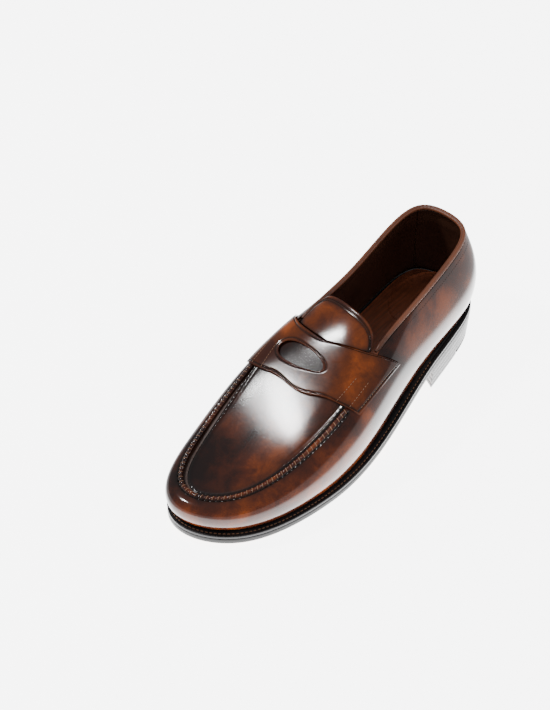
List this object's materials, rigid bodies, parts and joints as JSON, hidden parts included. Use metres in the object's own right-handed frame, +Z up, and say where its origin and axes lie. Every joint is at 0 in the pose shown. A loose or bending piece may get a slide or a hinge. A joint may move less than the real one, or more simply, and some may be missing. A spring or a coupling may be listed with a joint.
{
  "type": "penny loafer",
  "caption": "Left penny loafer with a moccasin apron, a slotted saddle strap, a free tongue, a rolled topline, a welted sole and a stacked heel.",
  "frame": {"origin": "middle of the shoe's box in plan, on the ground", "axes": "+Z up, toe towards -Y, heel towards +Y, outer side of the foot towards +X"},
  "size_m": [0.1042, 0.2988, 0.1027],
  "materials": {
    "upper_leather": "high-gloss burnished brown leather",
    "upper_leather_dark": "dark burnished leather",
    "lining_leather": "soft semi-matte lining leather",
    "stiffener": "pasted leather board",
    "binding_leather": "thin rolled leather, satin",
    "sock_leather": "brushed and polished sock leather",
    "insole_leather": "natural vegetable-tanned leather",
    "rib_canvas": "stiffened canvas",
    "steel": "pressed spring steel",
    "cork": "granulated cork paste",
    "edge_leather": "dressed black edge",
    "sole_leather": "dense sole leather with a dressed black edge",
    "stacked_leather": "stacked leather with a dressed black edge",
    "rubber": "matte black rubber"
  },
  "bodies": {
    "shoe": {"side_wall": "upper_leather", "apron": "upper_leather", "saddle_strap": "upper_leather", "vamp_lining": "lining_leather", "quarter_lining_lateral": "lining_leather", "quarter_lining_medial": "lining_leather", "heel_lining": "lining_leather", "toe_puff": "stiffener", "heel_counter": "stiffener", "topline_binding": "binding_leather", "heel_tab": "upper_leather_dark", "sock_lining": "sock_leather", "insole": "insole_leather", "insole_rib": "rib_canvas", "shank": "steel", "cork_filler": "cork", "seat_filler": "insole_leather", "welt": "edge_leather", "heel_rand": "edge_leather", "outsole": "sole_leather", "heel_lift_1": "stacked_leather", "heel_lift_2": "stacked_leather", "heel_lift_3": "stacked_leather", "top_piece": "sole_leather", "top_piece_rubber": "rubber"},
    "tongue_flap": {"tongue": "upper_leather", "tongue_lining": "lining_leather"}
  },
  "joints": [
    {"name": "tongue_lift", "type": "hinge", "parent": "shoe", "child": "tongue_flap", "pos_m": [-0.00189, -0.00184, 0.08609], "axis": [1, 0, 0], "range_deg": [-2, 32], "stiffness_Nm_per_rad": 0.03}
  ]
}
